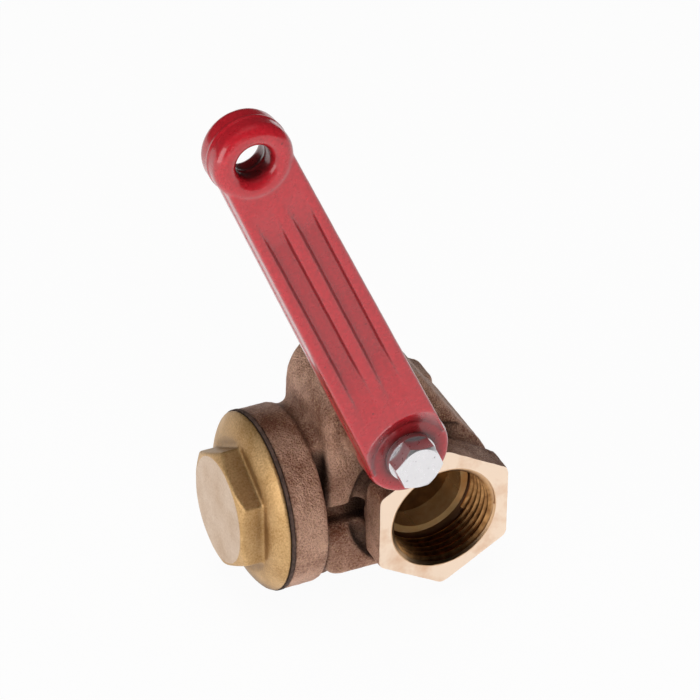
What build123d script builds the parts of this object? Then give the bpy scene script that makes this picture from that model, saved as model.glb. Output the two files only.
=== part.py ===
from build123d import *
import os
from math import atan2, cos, degrees, hypot, radians, sin, sqrt

# Lever operated quick closing valve with a swinging twin disc gate, in millimetres.
# The origin is the centre of the front port face: +Y runs along the pipe to the rear port,
# the screwed cap looks along -X and the lever stands up along +Z in the closed position.

# Pipe ports
face_to_face = 60.0
hex_across_flats = 41.0
hex_length = 10.0
hex_edge_round = 1.2
hex_face_radius = 22.9
hex_chamfer_length = 1.2
neck_radius = 20.0
neck_length = 2.5
hex_groove_radius = 22.5
hex_groove_round = 2.2
port_thread_radius = 16.625
port_thread_depth = 14.4
port_depth = 17.0
barrel_radius = 22.5

# Swing of the gate: the shaft stands above and beside the pipe axis
shaft_x = -14.5
shaft_z = 30.6

# Swing chamber of the casting
dome_radius = 17.0
chamber_rear = 44.0
chamber_inset = 0.6
chamber_left = -32.2
chamber_bottom = -22.0
chamber_corner_round = 6.0
chamber_edge_round = 2.4
notch_bottom = -3.5
notch_height = 7.2
notch_depth = 6.0
notch_end_x = -17.5
notch_upper_round = 0.8
notch_lower_round = 3.2
cavity_width = 15.0
cavity_clearance = 0.8
chamber_to_collar = 3.0

# Cap joint on the chamber's open side
cap_face_x = -46.65
collar_radius = 27.0
collar_length = 11.0
collar_edge_round = 1.5
neck_step = 0.8
neck_round = 2.4
cap_thread_radius = 20.2
cap_thread_length = 10.0
cap_bore_spare = 2.5
gasket_thickness = 0.9
gasket_stand_out = 0.2
gasket_bore_gap = 0.3
cap_flange_radius = 27.0
cap_flange_thickness = 4.6
cap_rim_length = 0.8
cap_flange_face_radius = 20.4
cap_flange_crown = 14.0
cap_hex_across_flats = 34.0
cap_hex_height = 7.2
cap_hex_turn = 28.0
cap_hex_chamfer = 1.6
cap_hex_face_radius = 16.4
cap_hollow_radius = 15.6
cap_hollow_depth = 15.0

# Seats, discs and the arm that carries them
port_bore_radius = 12.75
seat_flange_radius = 15.0
seat_flange_thickness = 2.0
seat_barrel_radius = 14.4
seat_stand_out = 0.5
disc_radius = 14.6
disc_thickness = 4.0
disc_edge_chamfer = 0.6
disc_spigot_radius = 7.4
disc_spigot_length = 2.3
disc_spring_pocket = 4.6
arm_thickness = 5.7
arm_ring_radius = 11.5
arm_hub_radius = 10.5
arm_waist = 13.0
spring_radius = 3.5
spring_wire_radius = 0.6
spring_turns = 4

# Shaft and stuffing box
shaft_radius = 6.5
shaft_square = 9.0
shaft_collar_radius = 8.7
shaft_collar_thickness = 3.0
pivot_radius = 4.5
pivot_length = 3.5
boss_radius = 12.2
boss_front = 4.3
stuffing_radius = 9.0
stuffing_depth = 12.5
thrust_washer_thickness = 1.0
packing_rings = 3
packing_ring_thickness = 1.6
gland_nut_stand_in = 0.2
gland_slot_width = 2.5
gland_slot_depth = 1.5

# Lever with its eye for a pull wire
lever_angle = 23.8
lever_length = 121.2
lever_back = 3.2
lever_seat = -6.0
lever_top = -9.5
lever_boss_radius = 12.8
lever_boss_round = 1.6
lever_root_width = 25.0
lever_tip_width = 21.2
lever_draft = 3.0
lever_edge_round = 1.4
arm_start = 0.5
spot_foot_radius = 11.0
spot_top_radius = 16.5
eye_radius = 11.6
eye_hole_radius = 5.2
eye_crown = 0.8
arm_end_gap = 2.0
flute_width = 6.2
flute_spread = 4.7
flute_depth = 1.6
flute_wall = 0.9
flute_start = 22.0
flute_end = 106.0
flute_run_in = 20.0
flute_run_out = 14.0

# Lever bolt and spring washer
bolt_radius = 4.0
bolt_length = 18.0
bolt_hole_depth = 22.0
bolt_head_across_flats = 13.0
bolt_head_height = 5.3
bolt_head_chamfer = 0.7
washer_outer_radius = 7.4
washer_bore_radius = 4.15
washer_thickness = 2.0
washer_gap = 1.4
square_end_gap = 0.4

# Clearances
fit_gap = 0.02
running_gap = 0.05
side_gap = 0.3

# Worked out from the values above
half_length = face_to_face / 2
swing_radius = hypot(shaft_x, shaft_z)
gate_angle = degrees(atan2(-shaft_x, shaft_z))
chamber_front = hex_length + neck_length
neck_width = chamber_rear - chamber_front - 2 * chamber_edge_round - chamber_inset
cavity_front = half_length - cavity_width / 2
cavity_rear = half_length + cavity_width / 2
seat_plane = cavity_front + seat_stand_out
gate_radius = disc_radius + cavity_clearance
hub_clear_radius = arm_hub_radius + cavity_clearance
open_x = 2 * shaft_x
collar_face_x = cap_face_x + gasket_thickness
collar_end_x = collar_face_x + collar_length
stuffing_floor = boss_front + stuffing_depth
pipe_axis = Axis((0, 0, 0), (0, 1, 0))
cap_axis = Axis((0, half_length, 0), (1, 0, 0))
shaft_axis = Axis((shaft_x, 0, shaft_z), (0, 1, 0))
cap_plane = Plane(origin=(0, half_length, 0), x_dir=(1, 0, 0), z_dir=(0, 0, 1))
shaft_plane = Plane(origin=(shaft_x, 0, shaft_z), x_dir=(1, 0, 0), z_dir=(0, 0, 1))


def facing_front(y):
    # Upright plane at y whose normal looks to the front, with X to the right and Z up
    return Plane.XZ.offset(-y)


def at_shaft(y, angle):
    # The same upright plane moved to the shaft, its y leaning to the cap's side by the angle
    turn = radians(angle)
    return Plane(origin=(shaft_x, y, shaft_z), x_dir=(cos(turn), 0, sin(turn)), z_dir=(0, -1, 0))


def along_lever(y):
    return at_shaft(y, lever_angle)


def along_arm(y):
    return at_shaft(y, gate_angle)


def export(piece, name):
    piece.part.label = name
    export_step(piece.part, "parts/" + name + ".step")


os.makedirs("parts", exist_ok=True)

# One hexagon end of the casting, with its turned face chamfer
with BuildPart() as hex_end:
    with BuildSketch(facing_front(0)):
        RegularPolygon(hex_across_flats / 2, 6, major_radius=False, rotation=30)
    extrude(amount=-hex_length)
    fillet(hex_end.edges().filter_by(Axis.Y), hex_edge_round)
    with BuildSketch(Plane.XY):
        with BuildLine():
            corner = hex_across_flats / sqrt(3)
            Polyline(
                (0, 0),
                (hex_face_radius, 0),
                (corner, hex_chamfer_length),
                (corner, hex_length - hex_chamfer_length),
                (hex_face_radius - hex_chamfer_length, hex_length),
                (0, hex_length),
                close=True,
            )
        make_face()
    revolve(axis=pipe_axis, mode=Mode.INTERSECT)

# Cast body: swing chamber, barrel, hexagon ends, cap collar and shaft boss
with BuildPart() as valve_body:
    with BuildSketch(facing_front(chamber_front)):
        with Locations((shaft_x, shaft_z)):
            Circle(dome_radius)
        with Locations((0, 0)):
            Circle(barrel_radius - chamber_inset)
        with Locations((chamber_left + chamber_corner_round, chamber_bottom + chamber_corner_round)):
            Circle(chamber_corner_round)
        make_hull()
    extrude(amount=-(chamber_rear - chamber_front))
    chamber_faces = valve_body.faces().filter_by(Axis.Y).sort_by(Axis.Y)
    fillet(chamber_faces[0].edges() + chamber_faces[-1].edges(), chamber_edge_round)
    # Cap collar, with a neck to the chamber that is kept clear of the chamber's rounded edges
    with BuildSketch(Plane.YZ.offset(collar_face_x)):
        with Locations((half_length, 0)):
            Circle(collar_radius)
    extrude(amount=collar_length)
    collar_end_edges = valve_body.edges().filter_by(GeomType.CIRCLE).filter_by_position(
        Axis.X, collar_end_x - side_gap, collar_end_x + side_gap
    )
    fillet(collar_end_edges, collar_edge_round)
    with BuildSketch(Plane.YZ.offset(collar_end_x - collar_length / 2)):
        with Locations((half_length, 0)):
            Circle(collar_radius - neck_step)
            Rectangle(neck_width, 2 * collar_radius, mode=Mode.INTERSECT)
    extrude(amount=chamber_left + chamber_to_collar - collar_end_x + collar_length / 2)
    neck_edges = valve_body.edges().filter_by(GeomType.ELLIPSE).filter_by_position(
        Axis.Z, 0, collar_radius
    )
    fillet(neck_edges, neck_round)
    with BuildSketch(facing_front(chamber_front)):
        Circle(barrel_radius)
    extrude(amount=-(face_to_face - 2 * chamber_front))
    with BuildSketch(facing_front(hex_length - hex_edge_round)):
        Circle(neck_radius)
    extrude(amount=-(face_to_face - 2 * (hex_length - hex_edge_round)))
    add(hex_end.part)
    mirror(hex_end.part, about=Plane.XZ.offset(-half_length))
    with BuildSketch(facing_front(boss_front)):
        with Locations((shaft_x, shaft_z)):
            Circle(boss_radius)
    extrude(amount=-(cavity_front - boss_front))
    # Notch with rounded lips under the shaft side of the chamber, open towards the collar
    with BuildSketch(Plane.YZ.offset(notch_end_x)):
        notch_lip = chamber_front - fit_gap
        notch_floor = chamber_front + notch_depth
        notch_top = notch_bottom + notch_height
        with BuildLine():
            upper_centre = (notch_lip + notch_upper_round, notch_top + notch_upper_round)
            lower_centre = (notch_lip + notch_lower_round, notch_bottom - notch_lower_round)
            CenterArc(upper_centre, notch_upper_round, 180, 90)
            Polyline(
                (upper_centre[0], notch_top),
                (notch_floor, notch_top),
                (notch_floor, notch_bottom),
                (lower_centre[0], notch_bottom),
            )
            CenterArc(lower_centre, notch_lower_round, 90, 90)
            Line((notch_lip, lower_centre[1]), (notch_lip, upper_centre[1]))
        make_face()
    extrude(amount=chamber_left - notch_end_x, mode=Mode.SUBTRACT)
    # Rounded groove between the front hexagon and the chamber
    with BuildSketch(Plane.XY):
        with Locations((hex_groove_radius, chamber_front)):
            Circle(hex_groove_round)
    revolve(axis=pipe_axis, mode=Mode.SUBTRACT)
    # Swing cavity
    with BuildSketch(facing_front(cavity_front)):
        with Locations((shaft_x, shaft_z)):
            Circle(hub_clear_radius)
        with Locations((0, 0), (open_x, 0), (shaft_x, shaft_z - swing_radius)):
            Circle(gate_radius)
        make_hull()
    extrude(amount=-cavity_width, mode=Mode.SUBTRACT)
    # Cap bore
    with BuildSketch(Plane.YZ.offset(collar_face_x)):
        with Locations((half_length, 0)):
            Circle(cap_thread_radius)
    extrude(amount=cap_thread_length + cap_bore_spare, mode=Mode.SUBTRACT)
    # Ports, and the bores for the seat rings
    with BuildSketch(Plane.XY):
        with BuildLine():
            Polyline(
                (0, 0),
                (port_thread_radius, 0),
                (port_thread_radius, port_thread_depth),
                (seat_flange_radius + fit_gap, port_thread_depth),
                (seat_flange_radius + fit_gap, port_depth),
                (seat_barrel_radius + fit_gap, port_depth),
                (seat_barrel_radius + fit_gap, half_length),
                (0, half_length),
                close=True,
            )
        make_face()
        mirror(about=Plane.XZ.offset(-half_length))
    revolve(axis=pipe_axis, mode=Mode.SUBTRACT)
    # Stuffing box, shaft hole and the blind rear pivot
    with BuildSketch(shaft_plane):
        with BuildLine():
            Polyline(
                (0, boss_front),
                (stuffing_radius, boss_front),
                (stuffing_radius, stuffing_floor),
                (shaft_radius + running_gap, stuffing_floor),
                (shaft_radius + running_gap, half_length),
                (pivot_radius + running_gap, half_length),
                (pivot_radius + running_gap, cavity_rear + pivot_length + side_gap),
                (0, cavity_rear + pivot_length + side_gap),
                close=True,
            )
        make_face()
    revolve(axis=shaft_axis, mode=Mode.SUBTRACT)
export(valve_body, "valve_body")

# Seat rings, pushed in from the ports, their lapped faces just inside the chamber
with BuildPart() as front_seat:
    with BuildSketch(Plane.XY):
        with BuildLine():
            Polyline(
                (port_bore_radius, port_depth - seat_flange_thickness),
                (seat_flange_radius, port_depth - seat_flange_thickness),
                (seat_flange_radius, port_depth),
                (seat_barrel_radius, port_depth),
                (seat_barrel_radius, seat_plane),
                (port_bore_radius, seat_plane),
                close=True,
            )
        make_face()
    revolve(axis=pipe_axis)
export(front_seat, "front_seat")

with BuildPart() as rear_seat:
    mirror(front_seat.part, about=Plane.XZ.offset(-half_length))
export(rear_seat, "rear_seat")

# Screwed cap with its hexagon, flange and hollow plug
with BuildPart() as bonnet_cap:
    hex_back_x = cap_face_x - cap_flange_thickness
    cap_front_x = hex_back_x - cap_hex_height
    plug_end_x = collar_face_x + cap_thread_length
    with BuildSketch(Plane.YZ.offset(cap_face_x)):
        with Locations((half_length, 0)):
            RegularPolygon(cap_hex_across_flats / 2, 6, major_radius=False, rotation=cap_hex_turn)
    extrude(amount=-(cap_flange_thickness + cap_hex_height))
    with BuildSketch(cap_plane):
        with BuildLine():
            cap_corner = cap_hex_across_flats / sqrt(3)
            Polyline(
                (cap_front_x, 0),
                (cap_front_x, cap_hex_face_radius),
                (cap_front_x + cap_hex_chamfer, cap_corner),
                (cap_face_x, cap_corner),
                (cap_face_x, 0),
                close=True,
            )
        make_face()
    revolve(axis=cap_axis, mode=Mode.INTERSECT)
    with BuildSketch(cap_plane):
        with BuildLine():
            Line((plug_end_x, 0), (plug_end_x, cap_thread_radius - fit_gap))
            Line((plug_end_x, cap_thread_radius - fit_gap), (cap_face_x, cap_thread_radius - fit_gap))
            Line((cap_face_x, cap_thread_radius - fit_gap), (cap_face_x, cap_flange_radius))
            Line((cap_face_x, cap_flange_radius), (cap_face_x - cap_rim_length, cap_flange_radius))
            RadiusArc(
                (cap_face_x - cap_rim_length, cap_flange_radius),
                (hex_back_x, cap_flange_face_radius),
                -cap_flange_crown,
            )
            Line((hex_back_x, cap_flange_face_radius), (hex_back_x, 0))
            Line((hex_back_x, 0), (plug_end_x, 0))
        make_face()
    revolve(axis=cap_axis)
    with BuildSketch(Plane.YZ.offset(plug_end_x)):
        with Locations((half_length, 0)):
            Circle(cap_hollow_radius)
    extrude(amount=-cap_hollow_depth, mode=Mode.SUBTRACT)
export(bonnet_cap, "bonnet_cap")

with BuildPart() as cap_gasket:
    with BuildSketch(Plane.YZ.offset(cap_face_x)):
        with Locations((half_length, 0)):
            Circle(cap_flange_radius + gasket_stand_out)
            Circle(cap_thread_radius + gasket_bore_gap, mode=Mode.SUBTRACT)
    extrude(amount=gasket_thickness)
export(cap_gasket, "cap_gasket")

# Shaft: square end for the lever, collar in the stuffing box, square for the arm and rear pivot
with BuildPart() as shaft:
    collar_rear = stuffing_floor - thrust_washer_thickness
    collar_front = collar_rear - shaft_collar_thickness
    square_end = lever_seat + square_end_gap
    with BuildSketch(shaft_plane):
        with BuildLine():
            Polyline(
                (0, lever_back),
                (shaft_radius, lever_back),
                (shaft_radius, collar_front),
                (shaft_collar_radius, collar_front),
                (shaft_collar_radius, collar_rear),
                (shaft_radius, collar_rear),
                (shaft_radius, cavity_front),
                (0, cavity_front),
                close=True,
            )
        make_face()
    revolve(axis=shaft_axis)
    with BuildSketch(along_lever(lever_back)):
        Rectangle(shaft_square, shaft_square)
    extrude(amount=lever_back - square_end)
    with BuildSketch(along_arm(cavity_rear)):
        Rectangle(shaft_square, shaft_square)
    extrude(amount=cavity_width)
    with BuildSketch(facing_front(cavity_rear)):
        with Locations((shaft_x, shaft_z)):
            Circle(pivot_radius)
    extrude(amount=-pivot_length)
    with BuildSketch(facing_front(square_end)):
        with Locations((shaft_x, shaft_z)):
            Circle(bolt_radius + fit_gap)
    extrude(amount=-bolt_hole_depth, mode=Mode.SUBTRACT)
export(shaft, "shaft")

with BuildPart() as thrust_washer:
    with BuildSketch(facing_front(stuffing_floor)):
        with Locations((shaft_x, shaft_z)):
            Circle(shaft_collar_radius)
            Circle(shaft_radius + running_gap, mode=Mode.SUBTRACT)
    extrude(amount=thrust_washer_thickness - running_gap)
export(thrust_washer, "thrust_washer")

# Packing rings between the shaft collar and the gland nut
for ring in range(packing_rings):
    ring_rear = collar_front - running_gap - ring * packing_ring_thickness
    with BuildPart() as packing_ring:
        with BuildSketch(facing_front(ring_rear)):
            with Locations((shaft_x, shaft_z)):
                Circle(stuffing_radius - fit_gap)
                Circle(shaft_radius + running_gap, mode=Mode.SUBTRACT)
        extrude(amount=packing_ring_thickness - fit_gap)
    export(packing_ring, "packing_ring_" + str(ring + 1))

with BuildPart() as gland_nut:
    gland_rear = collar_front - running_gap - packing_rings * packing_ring_thickness
    gland_front = boss_front + gland_nut_stand_in
    with BuildSketch(facing_front(gland_rear)):
        with Locations((shaft_x, shaft_z)):
            Circle(stuffing_radius - fit_gap)
            Circle(shaft_radius + running_gap, mode=Mode.SUBTRACT)
    extrude(amount=gland_rear - gland_front)
    with BuildSketch(facing_front(gland_front)):
        with Locations((shaft_x, shaft_z)):
            Rectangle(2 * stuffing_radius, gland_slot_width)
    extrude(amount=-gland_slot_depth, mode=Mode.SUBTRACT)
export(gland_nut, "gland_nut")

# Swing arm: hub on the shaft's square and a ring round the spigots of the discs
with BuildPart() as gate_arm:
    with BuildSketch(along_arm(half_length + arm_thickness / 2)):
        Circle(arm_hub_radius)
        with Locations((0, -swing_radius)):
            Circle(arm_ring_radius)
        with Locations((0, -swing_radius / 2)):
            Rectangle(arm_waist, swing_radius)
    extrude(amount=arm_thickness)
    with BuildSketch(along_arm(cavity_rear - side_gap)):
        Circle(arm_hub_radius)
    extrude(amount=cavity_width - 2 * side_gap)
    with BuildSketch(along_arm(cavity_rear)):
        Rectangle(shaft_square + 2 * running_gap, shaft_square + 2 * running_gap)
        with Locations((0, -swing_radius)):
            Circle(disc_spigot_radius + running_gap)
    extrude(amount=cavity_width, mode=Mode.SUBTRACT)
export(gate_arm, "gate_arm")

# Discs that slide on the seats, each with a spigot and a pocket for the spring
with BuildPart() as front_disc:
    disc_face = seat_plane + running_gap
    disc_back = disc_face + disc_thickness
    with BuildSketch(Plane.XY):
        with BuildLine():
            Polyline(
                (0, disc_face),
                (disc_radius - disc_edge_chamfer, disc_face),
                (disc_radius, disc_face + disc_edge_chamfer),
                (disc_radius, disc_back),
                (disc_spigot_radius, disc_back),
                (disc_spigot_radius, disc_back + disc_spigot_length),
                (disc_spring_pocket, disc_back + disc_spigot_length),
                (disc_spring_pocket, disc_back - disc_spigot_length / 2),
                (0, disc_back - disc_spigot_length / 2),
                close=True,
            )
        make_face()
    revolve(axis=pipe_axis)
export(front_disc, "front_disc")

with BuildPart() as rear_disc:
    mirror(front_disc.part, about=Plane.XZ.offset(-half_length))
export(rear_disc, "rear_disc")

# Compression spring that presses the two discs apart
with BuildPart() as disc_spring:
    spring_seat = disc_back - disc_spigot_length / 2
    spring_length = 2 * (half_length - spring_seat) - 2 * spring_wire_radius - 2 * fit_gap
    spring_start = spring_seat + spring_wire_radius + fit_gap
    with BuildLine():
        coil = Helix(
            spring_length / spring_turns,
            spring_length,
            spring_radius,
            center=(0, spring_start, 0),
            direction=(0, 1, 0),
        )
    with BuildSketch(Plane(origin=coil @ 0, z_dir=coil % 0)):
        Circle(spring_wire_radius)
    sweep(is_frenet=True)
export(disc_spring, "disc_spring")

# Cast lever: arm drafted both ways from its parting plane, spot faced boss, flutes and a rounded eye
with BuildPart() as lever:
    eye_top = lever_top - eye_crown
    eye_plane = along_lever((lever_back + eye_top) / 2)
    eye_ring_radius = (eye_radius + eye_hole_radius) / 2
    eye_back_plane = Plane(origin=eye_plane.origin, x_dir=-eye_plane.x_dir, z_dir=(0, 1, 0))
    for plane, depth in (
        (eye_plane, eye_plane.origin.Y - lever_top),
        (eye_back_plane, lever_back - eye_plane.origin.Y),
    ):
        with BuildSketch(plane):
            with BuildLine():
                Polyline(
                    (-lever_root_width / 2, arm_start),
                    (lever_root_width / 2, arm_start),
                    (lever_tip_width / 2, lever_length - arm_end_gap),
                    (-lever_tip_width / 2, lever_length - arm_end_gap),
                    close=True,
                )
            make_face()
        extrude(amount=depth, taper=lever_draft)
    fillet(lever.faces().sort_by(Axis.Y)[0].edges(), lever_edge_round)
    with BuildSketch(shaft_plane):
        with BuildLine():
            boss_corner = (lever_boss_radius - lever_boss_round, lever_seat + lever_boss_round)
            Polyline(
                (boss_corner[0], lever_seat),
                (0, lever_seat),
                (0, lever_back),
                (lever_boss_radius, lever_back),
                (lever_boss_radius, boss_corner[1]),
            )
            CenterArc(boss_corner, lever_boss_round, 0, -90)
        make_face()
    revolve(axis=shaft_axis)
    with BuildSketch(along_lever(lever_seat)):
        Circle(spot_foot_radius)
    with BuildSketch(along_lever(lever_top)):
        Circle(spot_top_radius)
    loft(mode=Mode.SUBTRACT)
    # Flutes with sloping walls that run out at both ends
    floor_start = flute_start + flute_run_in
    floor_end = flute_end - flute_run_out
    for side in (-1, 1):
        with BuildSketch(along_lever(lever_top)):
            with Locations((side * flute_spread, (flute_start + flute_end) / 2)):
                Rectangle(flute_width, flute_end - flute_start)
        with BuildSketch(along_lever(lever_top + flute_depth)):
            with Locations((side * flute_spread, (floor_start + floor_end) / 2)):
                Rectangle(flute_width - 2 * flute_wall, floor_end - floor_start)
        loft(mode=Mode.SUBTRACT)
    with BuildSketch(along_lever(lever_back)):
        with Locations((0, lever_length)):
            Circle(eye_ring_radius)
        Rectangle(shaft_square + 2 * fit_gap, shaft_square + 2 * fit_gap)
    extrude(amount=lever_back - lever_top, mode=Mode.SUBTRACT)
    # Eye: a ring with fully rounded faces
    eye_centre = eye_plane.from_local_coords((0, lever_length, 0))
    with BuildSketch(Plane(origin=eye_centre, x_dir=eye_plane.x_dir, z_dir=eye_plane.y_dir)):
        with Locations((eye_ring_radius, 0)):
            SlotOverall(lever_back - eye_top, eye_radius - eye_hole_radius, rotation=90)
    revolve(axis=Axis(eye_centre, (0, 1, 0)))
export(lever, "lever")

with BuildPart() as lock_washer:
    with BuildSketch(along_lever(lever_seat)):
        Circle(washer_outer_radius)
        Circle(washer_bore_radius, mode=Mode.SUBTRACT)
        with Locations((-washer_outer_radius / 2, -washer_outer_radius / 2)):
            Rectangle(2 * washer_outer_radius, washer_gap, rotation=45, mode=Mode.SUBTRACT)
    extrude(amount=washer_thickness)
export(lock_washer, "lock_washer")

with BuildPart() as lever_bolt:
    head_back = lever_seat - washer_thickness
    head_front = head_back - bolt_head_height
    with BuildSketch(along_lever(head_back)):
        RegularPolygon(bolt_head_across_flats / 2, 6, major_radius=False, rotation=30)
    extrude(amount=bolt_head_height)
    with BuildSketch(shaft_plane):
        with BuildLine():
            Polyline(
                (0, head_front),
                (bolt_head_across_flats / 2 - bolt_head_chamfer / 4, head_front),
                (bolt_head_across_flats / sqrt(3), head_front + bolt_head_chamfer),
                (bolt_head_across_flats / sqrt(3), head_back),
                (0, head_back),
                close=True,
            )
        make_face()
    revolve(axis=shaft_axis, mode=Mode.INTERSECT)
    with BuildSketch(facing_front(head_back)):
        with Locations((shaft_x, shaft_z)):
            Circle(bolt_radius)
    extrude(amount=-bolt_length)
export(lever_bolt, "lever_bolt")
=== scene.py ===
import bpy
import math
from mathutils import Matrix, Vector


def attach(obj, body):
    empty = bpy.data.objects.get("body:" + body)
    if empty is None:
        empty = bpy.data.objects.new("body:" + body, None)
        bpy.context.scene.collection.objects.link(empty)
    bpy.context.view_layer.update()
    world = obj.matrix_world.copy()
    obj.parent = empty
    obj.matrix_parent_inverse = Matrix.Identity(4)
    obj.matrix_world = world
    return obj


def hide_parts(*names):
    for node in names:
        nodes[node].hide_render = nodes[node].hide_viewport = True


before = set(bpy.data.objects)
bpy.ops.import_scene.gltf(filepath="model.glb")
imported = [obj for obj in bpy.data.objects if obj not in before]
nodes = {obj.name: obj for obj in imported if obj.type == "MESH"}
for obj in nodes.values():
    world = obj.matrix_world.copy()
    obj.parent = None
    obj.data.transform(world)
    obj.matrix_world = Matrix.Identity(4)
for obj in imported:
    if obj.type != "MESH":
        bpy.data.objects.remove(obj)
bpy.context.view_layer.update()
mm = 0.001
mergeGap = 1e-6  # metres; vertices nearer than this are one
print("frame loaded with", len(nodes), "CAD nodes")


def hexColour(code):  # sRGB hex to the linear colour that shader sockets take
    parts = [int(code[i:i + 2], 16) / 255 for i in (1, 3, 5)]
    linear = [p / 12.92 if p <= 0.04045 else ((p + 0.055) / 1.055) ** 2.4 for p in parts]
    return (*linear, 1.0)


def patternScale(size):  # texture scale for a mark of this many millimetres
    return 1 / (size * mm)


def addNode(tree, kind, feeds=None, **settings):  # one node, its settings, and what goes into its sockets
    node = tree.nodes.new(kind)
    for name, value in settings.items():
        setattr(node, name, value)
    for socket, value in (feeds or {}).items():
        if isinstance(value, bpy.types.NodeSocket):
            tree.links.new(value, node.inputs[socket])
        else:
            node.inputs[socket].default_value = value
    return node


def newMaterial(name, sockets):  # a Principled material; plain values go on the shader's own sockets
    material = bpy.data.materials.new(name)
    material.use_nodes = True
    tree = material.node_tree
    shader = tree.nodes["Principled BSDF"]
    for socket, value in sockets.items():
        shader.inputs[socket].default_value = value
    place = addNode(tree, "ShaderNodeTexCoord").outputs["Object"]
    return material, tree, shader, place


def finishNode(name, material):  # a CAD node keeps its mesh and takes this finish
    nodes[name].data.materials.clear()
    nodes[name].data.materials.append(material)


def activate(piece):
    bpy.ops.object.select_all(action="DESELECT")
    piece.select_set(True)
    bpy.context.view_layer.objects.active = piece


def applyModifier(piece, kind, **settings):
    activate(piece)
    modifier = piece.modifiers.new(kind.lower(), kind)
    for name, value in settings.items():
        setattr(modifier, name, value)
    bpy.ops.object.modifier_apply(modifier=modifier.name)


def settle(piece):  # the place goes into the mesh, and the object sits at the origin
    activate(piece)
    bpy.ops.object.transform_apply(location=True, rotation=True, scale=True)


# What several finishes share. Sizes in every dictionary are millimetres, colours sRGB hex.
noiseSpan = {"From Min": 0.3, "From Max": 0.7}  # a noise texture keeps mostly between these
recessSamples = 8
pipe = {"faceToFace": 60.0, "mouthDepth": 1.3, "mouth": "#dcb48c"}


def shadeAndGrimeInRecesses(tree, colour, look):  # painted shade where a surface is closed in, standing also for the dirt, pooled paint and tarnish there
    openness = addNode(tree, "ShaderNodeAmbientOcclusion", {
        "Distance": look["shadeAndGrimeReach"] * mm}, samples=recessSamples).outputs["AO"]
    share = addNode(tree, "ShaderNodeMapRange", {
        "Value": openness, "From Min": look["shadeAndGrimeFrom"], "From Max": look["shadeAndGrimeFull"],
        "To Max": look["shadeAndGrimeMost"]}).outputs[0]
    return addNode(tree, "ShaderNodeMix", {
        0: share, 6: colour, 7: hexColour(look["recessShadeAndGrime"])}, data_type="RGBA").outputs[2]


def measurePipe(tree, place):  # distance from the pipe's middle, and the bright mouth of either port
    axes = addNode(tree, "ShaderNodeSeparateXYZ", {0: place}).outputs
    fromMiddle = addNode(tree, "ShaderNodeMath", {
        0: axes["Y"], 1: pipe["faceToFace"] / 2 * mm}, operation="SUBTRACT").outputs[0]
    along = addNode(tree, "ShaderNodeMath", {0: fromMiddle}, operation="ABSOLUTE").outputs[0]
    mouthShare = addNode(tree, "ShaderNodeMapRange", {
        "Value": along, "From Min": (pipe["faceToFace"] / 2 - pipe["mouthDepth"]) * mm,
        "From Max": (pipe["faceToFace"] / 2 - pipe["mouthDepth"] / 2) * mm}).outputs[0]
    return along, mouthShare


# Sand cast gunmetal: the mould leaves a grain of about half a millimetre and a dull red brown
# skin, with golden spots painted on as glints; the faces that are turned are pale and smooth.
castSkin = {
    "metallic": 0.7, "castRough": (0.42, 0.6), "cutRough": 0.36, "cutRelief": 0.04,
    "grainSize": 0.6, "grainHeight": 0.95, "grainShare": 0.75, "lumpSize": 2.4, "lumpHeight": 0.3,
    "patchSize": 16.0, "dark": "#875741", "light": "#deb299", "toneFrom": 0.7, "toneFull": 1.05,
    "glintSize": 0.9, "paintedGlint": "#e6c193", "glintFrom": 0.30, "glintFull": 0.10, "glintMost": 0.55,
    "turned": "#fbe2ca", "turnedDull": "#e6bd9c", "dullFrom": 0.5, "dullFull": 0.68, "faceDepth": 0.06,
    # the bore's dark brown is painted shade inside the tapped port
    "bore": "#553720", "portRadius": 16.9, "portDepth": 17.2,
    # painted shade in the recesses, together with mould black and oil
    "recessShadeAndGrime": "#2c1a11", "shadeAndGrimeReach": 8.0, "shadeAndGrimeFrom": 0.8, "shadeAndGrimeFull": 0.4, "shadeAndGrimeMost": 0.92,
}


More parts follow.
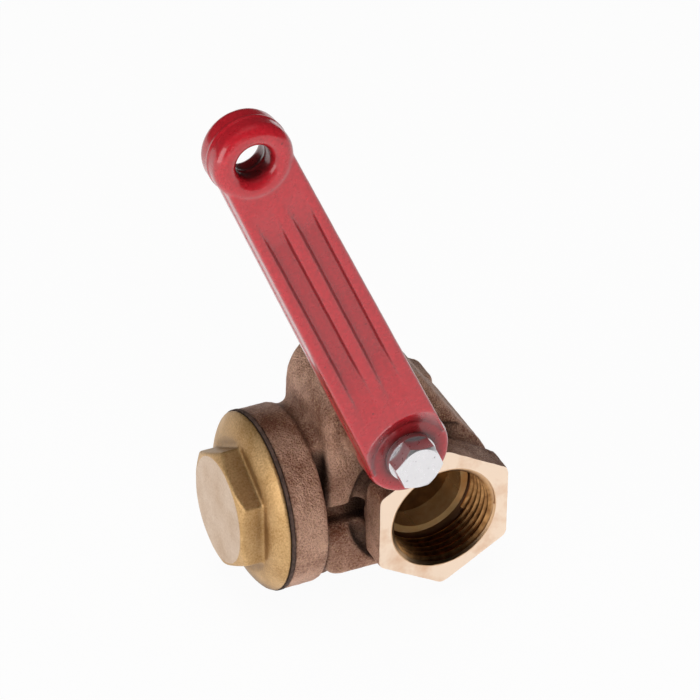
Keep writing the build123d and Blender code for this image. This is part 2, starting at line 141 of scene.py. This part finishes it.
def sandCastGunmetal():
    look = castSkin
    material, tree, shader, place = newMaterial("sand cast gunmetal", {"Metallic": look["metallic"]})
    grain = addNode(tree, "ShaderNodeTexNoise", {
        "Vector": place, "Scale": patternScale(look["grainSize"]),
        "Detail": 3.0, "Roughness": 0.6}).outputs["Fac"]
    lump = addNode(tree, "ShaderNodeTexNoise", {
        "Vector": place, "Scale": patternScale(look["lumpSize"]), "Detail": 2.0}).outputs["Fac"]
    patch = addNode(tree, "ShaderNodeTexNoise", {
        "Vector": place, "Scale": patternScale(look["patchSize"]),
        "Detail": 4.0, "Roughness": 0.65}).outputs["Fac"]
    cells = addNode(tree, "ShaderNodeTexVoronoi", {
        "Vector": place, "Scale": patternScale(look["glintSize"]), "Randomness": 1.0}).outputs["Distance"]
    tone = addNode(tree, "ShaderNodeMath", {
        0: grain, 1: look["grainShare"], 2: patch}, operation="MULTIPLY_ADD").outputs[0]
    toneShare = addNode(tree, "ShaderNodeMapRange", {
        "Value": tone, "From Min": look["toneFrom"], "From Max": look["toneFull"]}).outputs[0]
    skin = addNode(tree, "ShaderNodeMix", {
        0: toneShare, 6: hexColour(look["dark"]), 7: hexColour(look["light"])}, data_type="RGBA").outputs[2]
    # golden spots painted on the skin as glints
    glintShare = addNode(tree, "ShaderNodeMapRange", {
        "Value": cells, "From Min": look["glintFrom"], "From Max": look["glintFull"],
        "To Max": look["glintMost"]}).outputs[0]
    withGlints = addNode(tree, "ShaderNodeMix", {
        0: glintShare, 6: skin, 7: hexColour(look["paintedGlint"])}, data_type="RGBA").outputs[2]
    grimedAndShaded = shadeAndGrimeInRecesses(tree, withGlints, look)  # painted shade in the recesses, with mould black and oil

    along, mouthShare = measurePipe(tree, place)
    turnedShare = addNode(tree, "ShaderNodeMath", {
        0: along, 1: (pipe["faceToFace"] / 2 - look["faceDepth"]) * mm}, operation="GREATER_THAN").outputs[0]
    flat = addNode(tree, "ShaderNodeVectorMath", {
        0: place, 1: (1.0, 0.0, 1.0)}, operation="MULTIPLY").outputs[0]
    radius = addNode(tree, "ShaderNodeVectorMath", {0: flat}, operation="LENGTH").outputs["Value"]
    inPort = addNode(tree, "ShaderNodeMath", {
        0: radius, 1: look["portRadius"] * mm}, operation="LESS_THAN").outputs[0]
    nearEnd = addNode(tree, "ShaderNodeMath", {
        0: along, 1: (pipe["faceToFace"] / 2 - look["portDepth"]) * mm}, operation="GREATER_THAN").outputs[0]
    boreShare = addNode(tree, "ShaderNodeMath", {0: inPort, 1: nearEnd}, operation="MULTIPLY").outputs[0]
    dullShare = addNode(tree, "ShaderNodeMapRange", {  # handling has dulled the bright face in patches
        "Value": patch, "From Min": look["dullFrom"], "From Max": look["dullFull"]}).outputs[0]
    faceTone = addNode(tree, "ShaderNodeMix", {
        0: dullShare, 6: hexColour(look["turned"]),
        7: hexColour(look["turnedDull"])}, data_type="RGBA").outputs[2]
    withFace = addNode(tree, "ShaderNodeMix", {
        0: turnedShare, 6: grimedAndShaded, 7: faceTone}, data_type="RGBA").outputs[2]
    # the tapped bore is painted dark as shade, and the turned mouth at the face is bright
    boreTone = addNode(tree, "ShaderNodeMix", {
        0: mouthShare, 6: hexColour(look["bore"]), 7: hexColour(pipe["mouth"])}, data_type="RGBA").outputs[2]
    colour = addNode(tree, "ShaderNodeMix", {
        0: boreShare, 6: withFace, 7: boreTone}, data_type="RGBA").outputs[2]
    tree.links.new(colour, shader.inputs["Base Color"])

    cutShare = addNode(tree, "ShaderNodeMath", {
        0: turnedShare, 1: boreShare}, operation="MAXIMUM").outputs[0]
    castRough = addNode(tree, "ShaderNodeMapRange", {
        "Value": grain, **noiseSpan,
        "To Min": look["castRough"][0], "To Max": look["castRough"][1]}).outputs[0]
    rough = addNode(tree, "ShaderNodeMix", {0: cutShare, 2: castRough, 3: look["cutRough"]}).outputs[0]
    tree.links.new(rough, shader.inputs["Roughness"])
    relief = addNode(tree, "ShaderNodeMapRange", {
        "Value": cutShare, "To Min": 1.0, "To Max": look["cutRelief"]}).outputs[0]
    lumpBump = addNode(tree, "ShaderNodeBump", {
        "Strength": relief, "Distance": look["lumpHeight"] * mm, "Height": lump}).outputs[0]
    grainBump = addNode(tree, "ShaderNodeBump", {
        "Strength": relief, "Distance": look["grainHeight"] * mm,
        "Height": grain, "Normal": lumpBump}).outputs[0]
    tree.links.new(grainBump, shader.inputs["Normal"])
    return material


# Gunmetal cut by a tap: golden brown and satin, and at the countersunk mouth as bright as the face.
threadCut = {"metallic": 1.0, "rough": 0.34, "light": "#c4935f", "dark": "#835833", "streakSize": 2.2}


def tappedGunmetal():
    look = threadCut
    material, tree, shader, place = newMaterial("tapped gunmetal", {
        "Metallic": look["metallic"], "Roughness": look["rough"]})
    streak = addNode(tree, "ShaderNodeTexNoise", {
        "Vector": place, "Scale": patternScale(look["streakSize"]), "Detail": 3.0}).outputs["Fac"]
    share = addNode(tree, "ShaderNodeMapRange", {"Value": streak, **noiseSpan}).outputs[0]
    cut = addNode(tree, "ShaderNodeMix", {
        0: share, 6: hexColour(look["dark"]), 7: hexColour(look["light"])}, data_type="RGBA").outputs[2]
    mouthShare = measurePipe(tree, place)[1]
    colour = addNode(tree, "ShaderNodeMix", {
        0: mouthShare, 6: cut, 7: hexColour(pipe["mouth"])}, data_type="RGBA").outputs[2]
    tree.links.new(colour, shader.inputs["Base Color"])
    return material


# Blasted brass: fine even grain from the shot, tan gold and silky. Round the hexagon's foot it is
# darkened with tarnish and painted shade, and the hexagon's end face is paler.
capSkin = {
    "metallic": 0.72, "rough": (0.38, 0.52), "grainSize": 0.6, "grainHeight": 0.16, "grainStrength": 0.8,
    "cloudSize": 9.0, "tan": "#b0864f", "gold": "#e0b985", "toneFrom": 0.7, "toneFull": 1.3,
    "endX": -58.4, "endFace": "#e3ccb6", "endDull": "#c9a98a",
    "recessShadeAndGrime": "#65441f", "shadeAndGrimeReach": 9.0, "shadeAndGrimeFrom": 0.97, "shadeAndGrimeFull": 0.55, "shadeAndGrimeMost": 0.75,
}


def blastedBrass():
    look = capSkin
    material, tree, shader, place = newMaterial("blasted brass", {"Metallic": look["metallic"]})
    grain = addNode(tree, "ShaderNodeTexNoise", {  # shot marks, drawn coarser than real so that they show
        "Vector": place, "Scale": patternScale(look["grainSize"]), "Detail": 2.0}).outputs["Fac"]
    cloud = addNode(tree, "ShaderNodeTexNoise", {
        "Vector": place, "Scale": patternScale(look["cloudSize"]), "Detail": 4.0}).outputs["Fac"]
    tone = addNode(tree, "ShaderNodeMath", {0: grain, 1: cloud}, operation="ADD").outputs[0]
    share = addNode(tree, "ShaderNodeMapRange", {
        "Value": tone, "From Min": look["toneFrom"], "From Max": look["toneFull"]}).outputs[0]
    blasted = addNode(tree, "ShaderNodeMix", {
        0: share, 6: hexColour(look["tan"]), 7: hexColour(look["gold"])}, data_type="RGBA").outputs[2]
    # tarnish and painted shade round the hexagon's foot
    tarnishedAndShaded = shadeAndGrimeInRecesses(tree, blasted, look)
    axes = addNode(tree, "ShaderNodeSeparateXYZ", {0: place}).outputs
    endShare = addNode(tree, "ShaderNodeMath", {
        0: axes["X"], 1: look["endX"] * mm}, operation="LESS_THAN").outputs[0]
    endTone = addNode(tree, "ShaderNodeMix", {
        0: share, 6: hexColour(look["endDull"]), 7: hexColour(look["endFace"])}, data_type="RGBA").outputs[2]
    colour = addNode(tree, "ShaderNodeMix", {
        0: endShare, 6: tarnishedAndShaded, 7: endTone}, data_type="RGBA").outputs[2]
    tree.links.new(colour, shader.inputs["Base Color"])
    rough = addNode(tree, "ShaderNodeMapRange", {
        "Value": grain, **noiseSpan, "To Min": look["rough"][0], "To Max": look["rough"][1]}).outputs[0]
    tree.links.new(rough, shader.inputs["Roughness"])
    bump = addNode(tree, "ShaderNodeBump", {
        "Strength": look["grainStrength"], "Distance": look["grainHeight"] * mm, "Height": grain}).outputs[0]
    tree.links.new(bump, shader.inputs["Normal"])
    return material


# Stoved red enamel on cast metal: deep glossy red, a faint orange peel, the casting's grain
# showing through and tiny dark pits. The flutes and the spot face are darkened with painted shade and some
# pooled paint.
enamel = {
    "sockets": {"Metallic": 0.0, "IOR": 1.5, "Coat Weight": 0.6, "Coat Roughness": 0.1, "Coat IOR": 1.5},
    "rough": (0.24, 0.36), "red": "#bc222d", "deep": "#a71b25",
    "peelSize": 3.0, "peelHeight": 0.12, "peelStrength": 0.7,
    "grainSize": 0.9, "grainHeight": 0.02, "grainStrength": 0.6,
    "pitSize": 6.0, "pit": "#4a0a0e", "pitFrom": 0.07, "pitFull": 0.03, "pitMost": 0.8,
    "recessShadeAndGrime": "#330c09", "shadeAndGrimeReach": 9.0, "shadeAndGrimeFrom": 0.95, "shadeAndGrimeFull": 0.6, "shadeAndGrimeMost": 0.95,
}


def redEnamel():
    look = enamel
    material, tree, shader, place = newMaterial("red stoved enamel", look["sockets"])
    peel = addNode(tree, "ShaderNodeTexNoise", {
        "Vector": place, "Scale": patternScale(look["peelSize"]), "Detail": 2.0}).outputs["Fac"]
    grain = addNode(tree, "ShaderNodeTexNoise", {
        "Vector": place, "Scale": patternScale(look["grainSize"]), "Detail": 3.0}).outputs["Fac"]
    pits = addNode(tree, "ShaderNodeTexVoronoi", {
        "Vector": place, "Scale": patternScale(look["pitSize"]), "Randomness": 1.0}).outputs["Distance"]
    share = addNode(tree, "ShaderNodeMapRange", {"Value": grain, **noiseSpan}).outputs[0]
    paint = addNode(tree, "ShaderNodeMix", {
        0: share, 6: hexColour(look["deep"]), 7: hexColour(look["red"])}, data_type="RGBA").outputs[2]
    pitShare = addNode(tree, "ShaderNodeMapRange", {
        "Value": pits, "From Min": look["pitFrom"], "From Max": look["pitFull"],
        "To Max": look["pitMost"]}).outputs[0]
    pitted = addNode(tree, "ShaderNodeMix", {
        0: pitShare, 6: paint, 7: hexColour(look["pit"])}, data_type="RGBA").outputs[2]
    # painted shade, with some pooled paint, in the flutes and the spot face
    tree.links.new(shadeAndGrimeInRecesses(tree, pitted, look), shader.inputs["Base Color"])
    rough = addNode(tree, "ShaderNodeMapRange", {
        "Value": peel, **noiseSpan, "To Min": look["rough"][0], "To Max": look["rough"][1]}).outputs[0]
    tree.links.new(rough, shader.inputs["Roughness"])
    peelBump = addNode(tree, "ShaderNodeBump", {
        "Strength": look["peelStrength"], "Distance": look["peelHeight"] * mm, "Height": peel}).outputs[0]
    grainBump = addNode(tree, "ShaderNodeBump", {
        "Strength": look["grainStrength"], "Distance": look["grainHeight"] * mm,
        "Height": grain, "Normal": peelBump}).outputs[0]
    tree.links.new(grainBump, shader.inputs["Normal"])
    return material


# One plain recipe serves the small pieces whose finish is a mottled single metal or fibre.
# The dark spots lie below "low" in the noise, and the roughness runs from light to dark.
spotStrength = 0.6
smallFinishes = {
    "zinc plated steel": {  # bright bluish zinc with darker specks
        "light": "#eceaec", "dark": "#a19aa0", "spot": 1.6, "metallic": 0.9, "rough": (0.25, 0.4),
        "low": 0.24, "high": 0.36, "height": 0.015},
    "turned seat bronze": {  # fresh turned ring, bright and silky
        "light": "#f6cf95", "dark": "#e0ae6c", "spot": 6.0, "metallic": 0.72, "rough": (0.18, 0.26),
        "low": 0.3, "high": 0.7, "height": 0.01},
    "shaded disc bronze": {  # gate discs and arm, painted dark brown as the shade inside the valve
        "light": "#8c673f", "dark": "#654628", "spot": 5.0, "metallic": 0.9, "rough": (0.3, 0.4),
        "low": 0.3, "high": 0.7, "height": 0.02},
    "drawn brass bar": {  # shaft and gland, plain machined brass
        "light": "#cda863", "dark": "#a98545", "spot": 2.0, "metallic": 0.95, "rough": (0.25, 0.38),
        "low": 0.3, "high": 0.7, "height": 0.01},
    "pressed fibre gasket": {  # dark matt sheet with short fibres
        "light": "#5f4b42", "dark": "#382c27", "spot": 1.2, "metallic": 0.0, "rough": (0.8, 0.95),
        "low": 0.3, "high": 0.7, "height": 0.08},
    "graphite packing": {  # grey braided ring, greasy
        "light": "#55555a", "dark": "#2c2c30", "spot": 0.9, "metallic": 0.2, "rough": (0.5, 0.7),
        "low": 0.3, "high": 0.7, "height": 0.1},
    "spring steel wire": {  # oil blackened steel
        "light": "#6d6f74", "dark": "#4a4b50", "spot": 1.5, "metallic": 0.95, "rough": (0.3, 0.45),
        "low": 0.3, "high": 0.7, "height": 0.01},
}


def mottledFinish(name):
    look = smallFinishes[name]
    material, tree, shader, place = newMaterial(name, {"Metallic": look["metallic"]})
    spot = addNode(tree, "ShaderNodeTexNoise", {
        "Vector": place, "Scale": patternScale(look["spot"]),
        "Detail": 4.0, "Roughness": 0.6}).outputs["Fac"]
    share = addNode(tree, "ShaderNodeMapRange", {
        "Value": spot, "From Min": look["low"], "From Max": look["high"]}).outputs[0]
    colour = addNode(tree, "ShaderNodeMix", {
        0: share, 6: hexColour(look["dark"]), 7: hexColour(look["light"])}, data_type="RGBA").outputs[2]
    tree.links.new(colour, shader.inputs["Base Color"])
    rough = addNode(tree, "ShaderNodeMapRange", {
        "Value": spot, **noiseSpan, "To Min": look["rough"][1], "To Max": look["rough"][0]}).outputs[0]
    tree.links.new(rough, shader.inputs["Roughness"])
    bump = addNode(tree, "ShaderNodeBump", {
        "Strength": spotStrength, "Distance": look["height"] * mm, "Height": spot}).outputs[0]
    tree.links.new(bump, shader.inputs["Normal"])
    return material


gunmetal = sandCastGunmetal()
tapped = tappedGunmetal()
brass = blastedBrass()
redPaint = redEnamel()
small = {name: mottledFinish(name) for name in smallFinishes}
finishedWith = {  # the nodes that stay as the CAD has them
    "pressed fibre gasket": ("cap_gasket",),
    "zinc plated steel": ("lever_bolt", "lock_washer"),
    "turned seat bronze": ("front_seat", "rear_seat"),
    "shaded disc bronze": ("front_disc", "rear_disc", "gate_arm"),
    "drawn brass bar": ("shaft", "gland_nut", "thrust_washer"),
    "graphite packing": ("packing_ring_1", "packing_ring_2", "packing_ring_3"),
    "spring steel wire": ("disc_spring",),
}
for finish, names in finishedWith.items():
    for name in names:
        finishNode(name, small[finish])
print("materials on the CAD nodes")


# The two castings and the blasted cap: copies of the solids with every edge softened, and a slow
# unevenness over the skin. The body's turned port faces are cut again afterwards.
castings = {
    "body": {
        "node": "valve_body", "name": "body_casting", "voxel": 0.64, "rounds": 4, "lumpSize": 2.6,
        "lumpHeight": 0.22, "spare": 1.2, "faces": (0.0, pipe["faceToFace"]), "seam": None},
    "lever": {
        "node": "lever", "name": "lever_casting", "voxel": 0.44, "rounds": 5, "lumpSize": 4.0,
        "lumpHeight": 0.10, "spare": 0.0, "faces": (), "seam": {"y": -3.55, "half": 0.3, "height": 0.22}},
    "cap": {
        "node": "bonnet_cap", "name": "cap_blasted", "voxel": 0.42, "rounds": 14, "lumpSize": 3.0,
        "lumpHeight": 0.06, "spare": 0.0, "faces": (), "seam": None},
}
castWork = {"smoothFactor": 0.5, "lumpMiddle": 0.5, "seamLean": 0.4, "edgeAngle": 45}


def raiseSeam(piece, seam):  # a fine ridge where the two mould halves met
    activate(piece)
    bpy.ops.object.mode_set(mode="EDIT")
    bpy.ops.mesh.select_mode(type="VERT")
    bpy.ops.mesh.select_all(action="DESELECT")
    bpy.ops.object.mode_set(mode="OBJECT")
    for vertex in piece.data.vertices:
        onLine = abs(vertex.co.y - seam["y"] * mm) < seam["half"] * mm
        vertex.select = onLine and abs(vertex.normal.y) < castWork["seamLean"]
    bpy.ops.object.mode_set(mode="EDIT")
    bpy.ops.transform.shrink_fatten(value=seam["height"] * mm)
    bpy.ops.object.mode_set(mode="OBJECT")


def softCasting(cast, finish):
    piece = bpy.data.objects.new(cast["name"], nodes[cast["node"]].data.copy())
    bpy.context.collection.objects.link(piece)
    activate(piece)
    bpy.ops.object.mode_set(mode="EDIT")
    bpy.ops.mesh.select_all(action="SELECT")
    bpy.ops.mesh.remove_doubles(threshold=mergeGap)
    bpy.ops.object.mode_set(mode="OBJECT")
    middle = sum(cast["faces"]) / 2
    for face in cast["faces"]:  # a turned face gets spare length, as the rough casting has
        for vertex in piece.data.vertices:
            if abs(vertex.co.y - face * mm) < mergeGap:
                vertex.co.y += math.copysign(cast["spare"] * mm, face - middle)
    applyModifier(piece, "REMESH", mode="VOXEL", voxel_size=cast["voxel"] * mm)
    applyModifier(piece, "SMOOTH", factor=castWork["smoothFactor"], iterations=cast["rounds"])
    lumps = bpy.data.textures.new(cast["name"] + "_lumps", "CLOUDS")
    lumps.noise_scale = cast["lumpSize"] * mm
    applyModifier(piece, "DISPLACE", texture=lumps, texture_coords="LOCAL",
                  strength=cast["lumpHeight"] * mm, mid_level=castWork["lumpMiddle"])
    if cast["seam"]:
        raiseSeam(piece, cast["seam"])
    activate(piece)
    bpy.ops.object.mode_set(mode="EDIT")
    for face in cast["faces"]:  # the lathe takes the spare length off and leaves a flat face
        bpy.ops.mesh.select_all(action="SELECT")
        bpy.ops.mesh.bisect(
            plane_co=(0, face * mm, 0), plane_no=(0, math.copysign(1, face - middle), 0),
            use_fill=True, clear_outer=True)
    bpy.ops.object.mode_set(mode="OBJECT")
    bpy.ops.object.shade_smooth_by_angle(angle=math.radians(castWork["edgeAngle"]))
    piece.data.materials.clear()
    piece.data.materials.append(finish)
    print(cast["name"], "has", len(piece.data.polygons), "faces")
    return piece


bodyCasting = softCasting(castings["body"], gunmetal)
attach(bodyCasting, "body")
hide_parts("valve_body")
leverCasting = softCasting(castings["lever"], redPaint)
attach(leverCasting, "lever")
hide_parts("lever")
capBlasted = softCasting(castings["cap"], brass)
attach(capBlasted, "body")
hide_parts("bonnet_cap")


# The pipe thread in each port: one tooth, 11 to the inch, wound along the wall.
portThread = {
    "pitch": 2.309, "turns": 6.1, "start": -0.4, "stepsPerTurn": 72, "edgeAngle": 40,
    "wallRadius": 16.72, "crestRadius": 15.145, "baseHalf": 1.08, "crestHalf": 0.2,
    "shoulder": 0.16, "shoulderHalf": 0.34, "mouthRadius": 16.7, "mouthBack": 2.0,
}


def windThread():
    cut = portThread
    tooth = [  # radius and place along the pipe, round the tooth's section
        (cut["wallRadius"], -cut["baseHalf"]),
        (cut["crestRadius"] + cut["shoulder"], -cut["shoulderHalf"]),
        (cut["crestRadius"], -cut["crestHalf"]),
        (cut["crestRadius"], cut["crestHalf"]),
        (cut["crestRadius"] + cut["shoulder"], cut["shoulderHalf"]),
        (cut["wallRadius"], cut["baseHalf"]),
    ]
    bpy.ops.object.select_all(action="DESELECT")
    bpy.ops.mesh.primitive_circle_add(vertices=len(tooth), radius=mm, fill_type="NOTHING")
    piece = bpy.context.object
    piece.name = "front_port_thread"
    for vertex, (radius, along) in zip(piece.data.vertices, tooth):
        vertex.co = Vector((radius, along + cut["start"], 0)) * mm
    steps = round(cut["stepsPerTurn"] * cut["turns"])
    applyModifier(piece, "SCREW", axis="Y", angle=2 * math.pi * cut["turns"],
                  screw_offset=cut["pitch"] * cut["turns"] * mm, iterations=1,
                  steps=steps, render_steps=steps)
    activate(piece)
    bpy.ops.object.mode_set(mode="EDIT")
    bpy.ops.mesh.select_all(action="SELECT")
    bpy.ops.mesh.remove_doubles(threshold=mergeGap)
    bpy.ops.mesh.fill_holes(sides=0)
    bpy.ops.mesh.select_all(action="SELECT")
    bpy.ops.mesh.normals_make_consistent(inside=False)
    bpy.ops.object.mode_set(mode="OBJECT")

    mouthEnd = cut["mouthRadius"] + cut["mouthBack"]  # the 45 degree countersink cuts the first turn
    bpy.ops.object.select_all(action="DESELECT")
    bpy.ops.mesh.primitive_cone_add(
        vertices=cut["stepsPerTurn"], radius1=mouthEnd * mm, radius2=0, depth=mouthEnd * mm,
        location=(0, (mouthEnd / 2 - cut["mouthBack"]) * mm, 0), rotation=(-math.pi / 2, 0, 0))
    countersink = bpy.context.object
    settle(countersink)
    applyModifier(piece, "BOOLEAN", operation="DIFFERENCE", object=countersink, solver="EXACT")
    bpy.data.objects.remove(countersink)
    activate(piece)
    bpy.ops.object.shade_smooth_by_angle(angle=math.radians(cut["edgeAngle"]))
    piece.data.materials.clear()
    piece.data.materials.append(tapped)
    return piece


frontThread = windThread()
rearThread = frontThread.copy()
rearThread.data = frontThread.data.copy()
rearThread.name = "rear_port_thread"
bpy.context.collection.objects.link(rearThread)
rearThread.data.transform(
    Matrix.Translation((0, pipe["faceToFace"] * mm, 0)) @ Matrix.Rotation(math.pi, 4, "Z"))
for thread in (frontThread, rearThread):
    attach(thread, "body")
print("port threads wound:", len(frontThread.data.polygons), "faces each")


# Floor, light and camera
stageSet = {
    "floorZ": -27.3, "floorSize": 6000.0, "floorColour": "#f7f6f4", "floorRough": 0.9, "whiteShare": 0.95,
    "zenith": 0.26, "horizon": 1.0, "skyFrom": 0.1, "skyTo": 0.7, "front": 0.2, "frontFrom": -0.7,
}
bpy.ops.object.select_all(action="DESELECT")
bpy.ops.mesh.primitive_plane_add(
    size=stageSet["floorSize"] * mm, location=(0, 0, stageSet["floorZ"] * mm))
floor = bpy.context.object
floor.name = "floor"
settle(floor)
paper = bpy.data.materials.new("white paper sweep")
paper.use_nodes = True
paperTree = paper.node_tree
paperShader = paperTree.nodes["Principled BSDF"]
paperShader.inputs["Base Color"].default_value = hexColour(stageSet["floorColour"])
paperShader.inputs["Roughness"].default_value = stageSet["floorRough"]
seen = addNode(paperTree, "ShaderNodeLightPath").outputs
directView = addNode(paperTree, "ShaderNodeMath", {
    0: seen["Is Camera Ray"], 1: seen["Is Glossy Ray"]}, operation="MAXIMUM").outputs[0]
anyView = addNode(paperTree, "ShaderNodeMath", {
    0: directView, 1: seen["Is Transmission Ray"]}, operation="MAXIMUM").outputs[0]
whiteness = addNode(paperTree, "ShaderNodeMath", {  # the rest keeps the valve's shadow
    0: anyView, 1: stageSet["whiteShare"]}, operation="MULTIPLY").outputs[0]
white = addNode(paperTree, "ShaderNodeEmission", {"Color": (1, 1, 1, 1), "Strength": 1.0}).outputs[0]
paperMix = addNode(paperTree, "ShaderNodeMixShader", {
    0: whiteness, 1: paperShader.outputs[0], 2: white}).outputs[0]
paperTree.links.new(paperMix, paperTree.nodes["Material Output"].inputs["Surface"])
floor.data.materials.append(paper)

world = bpy.data.worlds.new("studio")
bpy.context.scene.world = world
world.use_nodes = True
air = world.node_tree
backdrop = air.nodes["Background"]
sky = addNode(air, "ShaderNodeTexCoord").outputs["Generated"]
sides = addNode(air, "ShaderNodeSeparateXYZ", {0: sky}).outputs
upward = addNode(air, "ShaderNodeMapRange", {  # the room is bright low down and dim overhead
    "Value": sides["Z"], "From Min": stageSet["skyFrom"], "From Max": stageSet["skyTo"],
    "To Min": stageSet["horizon"], "To Max": stageSet["zenith"]}).outputs[0]
backward = addNode(air, "ShaderNodeMapRange", {  # and dim in front
    "Value": sides["Y"], "From Min": stageSet["frontFrom"], "From Max": 0.0,
    "To Min": stageSet["front"], "To Max": 1.0}).outputs[0]
roomLight = addNode(air, "ShaderNodeMath", {0: upward, 1: backward}, operation="MULTIPLY").outputs[0]
onCamera = addNode(air, "ShaderNodeLightPath").outputs["Is Camera Ray"]
shown = addNode(air, "ShaderNodeMix", {0: onCamera, 2: roomLight, 3: 1.0}).outputs[0]
air.links.new(shown, backdrop.inputs["Strength"])

softLamps = {  # place and size in mm, watts, and whether the metal mirrors the lamp
    "front box": {"at": (-250, -1200, 180), "size": 900, "watts": 14.5, "mirrored": False},
    "left box": {"at": (-1100, -250, 250), "size": 800, "watts": 6.0, "mirrored": True},
    "top box": {"at": (0, 100, 1300), "size": 1000, "watts": 8.5, "mirrored": False},
}
lampTarget = Vector((-20, 20, 40)) * mm
for name, lamp in softLamps.items():
    light = bpy.data.lights.new(name, "AREA")
    light.energy = lamp["watts"]
    light.size = lamp["size"] * mm
    holder = bpy.data.objects.new(name, light)
    holder.location = Vector(lamp["at"]) * mm
    holder.rotation_euler = (lampTarget - holder.location).to_track_quat("-Z", "Y").to_euler()
    holder.visible_glossy = lamp["mirrored"]
    bpy.context.collection.objects.link(holder)

view = {  # found by fitting the solids' edges to the photograph; lens and sensor in mm, clipEnd in metres
    "azimuth": -25.161, "elevation": 34.297, "roll": 0.772, "target": (-21.40, 20.0, 52.23),
    "distance": 1233.0, "lens": 222.586, "sensor": 36.0, "clipEnd": 50.0,
}
turn = math.radians(view["azimuth"])
lift = math.radians(view["elevation"])
away = Vector((math.sin(turn) * math.cos(lift), -math.cos(turn) * math.cos(lift), math.sin(lift)))
cameraData = bpy.data.cameras.new("photo camera")
cameraData.lens = view["lens"]
cameraData.sensor_width = view["sensor"]
cameraData.clip_end = view["clipEnd"]
camera = bpy.data.objects.new("photo camera", cameraData)
camera.location = (Vector(view["target"]) + away * view["distance"]) * mm
level = (-away).to_track_quat("-Z", "Y").to_matrix()
camera.rotation_euler = (level @ Matrix.Rotation(math.radians(view["roll"]), 3, "Z")).to_euler()
bpy.context.collection.objects.link(camera)
bpy.context.scene.camera = camera
bpy.context.scene.view_settings.view_transform = "Standard"
print("stage, lamps and camera set")
